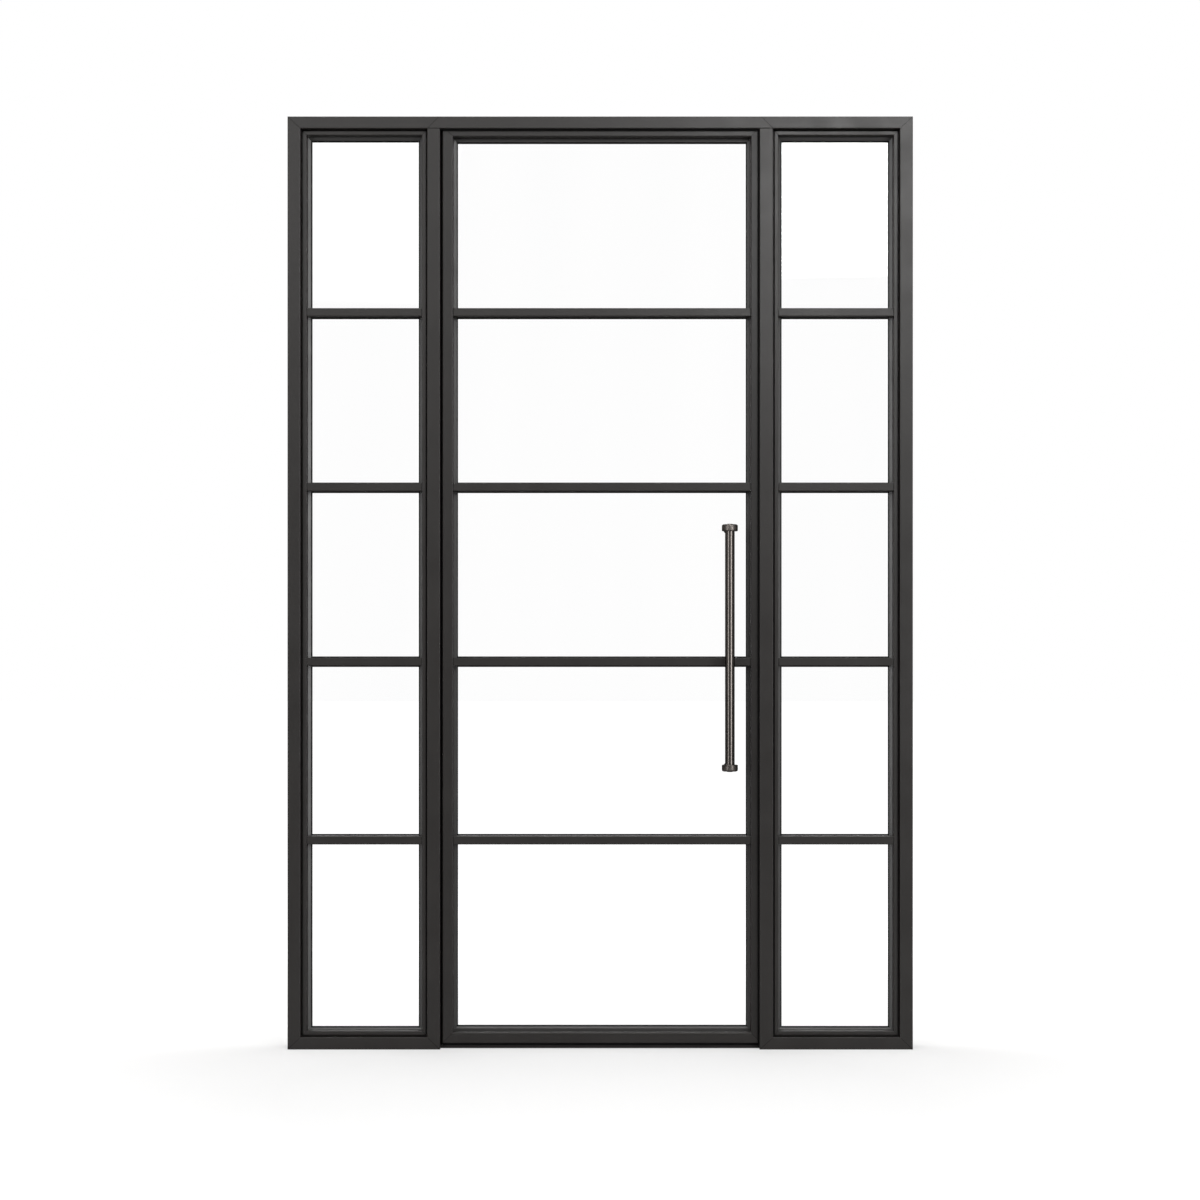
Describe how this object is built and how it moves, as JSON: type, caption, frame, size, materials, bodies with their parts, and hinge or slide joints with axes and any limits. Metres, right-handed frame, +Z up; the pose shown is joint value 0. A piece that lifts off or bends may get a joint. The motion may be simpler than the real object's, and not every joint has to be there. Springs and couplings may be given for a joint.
{
  "type": "iron wine cellar door",
  "caption": "Glazed iron wine cellar door hung in a mitred steel frame between fixed sidelights, with cross bars, rear barrel hinges and a long pull.",
  "frame": {"origin": "floor level under the threshold, midway across the frame and midway through the frame's depth", "axes": "+X to the right as seen from the room side, -Y towards the room, +Z up"},
  "size_m": [1.634, 0.1427, 2.438],
  "materials": {
    "iron_paint": "satin dark bronze paint on steel",
    "bead_paint": "satin dark bronze paint on the glazing beads",
    "threshold_metal": "dull dark bronze paint on steel",
    "glass": "clear safety glass",
    "pull_metal": "dark gunmetal, turned and polished",
    "hinge_steel": "satin dark bronze paint on steel",
    "seal_rubber": "black extruded rubber"
  },
  "bodies": {
    "frame": {"left_jamb": "iron_paint", "right_jamb": "iron_paint", "head": "iron_paint", "hinge_mullion": "iron_paint", "lock_mullion": "iron_paint", "left_sill": "iron_paint", "right_sill": "iron_paint", "threshold": "threshold_metal", "door_seal": "seal_rubber", "hinge_frame_halves": "hinge_steel", "left_sash_stiles": "iron_paint", "left_sash_rails": "iron_paint", "left_bead_stiles": "bead_paint", "left_bead_rails": "bead_paint", "left_rear_bead_stiles": "bead_paint", "left_rear_bead_rails": "bead_paint", "left_glass": "glass", "left_bars": "iron_paint", "left_rear_bars": "iron_paint", "right_sash_stiles": "iron_paint", "right_sash_rails": "iron_paint", "right_bead_stiles": "bead_paint", "right_bead_rails": "bead_paint", "right_rear_bead_stiles": "bead_paint", "right_rear_bead_rails": "bead_paint", "right_glass": "glass", "right_bars": "iron_paint", "right_rear_bars": "iron_paint"},
    "leaf": {"hinge_stile": "iron_paint", "lock_stile": "iron_paint", "bottom_rail": "iron_paint", "top_rail": "iron_paint", "door_bead_stiles": "bead_paint", "door_bead_rails": "bead_paint", "door_rear_bead_stiles": "bead_paint", "door_rear_bead_rails": "bead_paint", "door_glass": "glass", "door_bars": "iron_paint", "door_rear_bars": "iron_paint", "pull_rod": "pull_metal", "pull_top_bracket": "pull_metal", "pull_bottom_bracket": "pull_metal", "pull_rear_caps": "pull_metal", "hinge_leaf_halves": "hinge_steel"}
  },
  "joints": [
    {"name": "door_swing", "type": "hinge", "parent": "frame", "child": "leaf", "pos_m": [-0.408, 0.0305, 1.215], "axis": [0, 0, 1], "range_deg": [0, 110]}
  ]
}
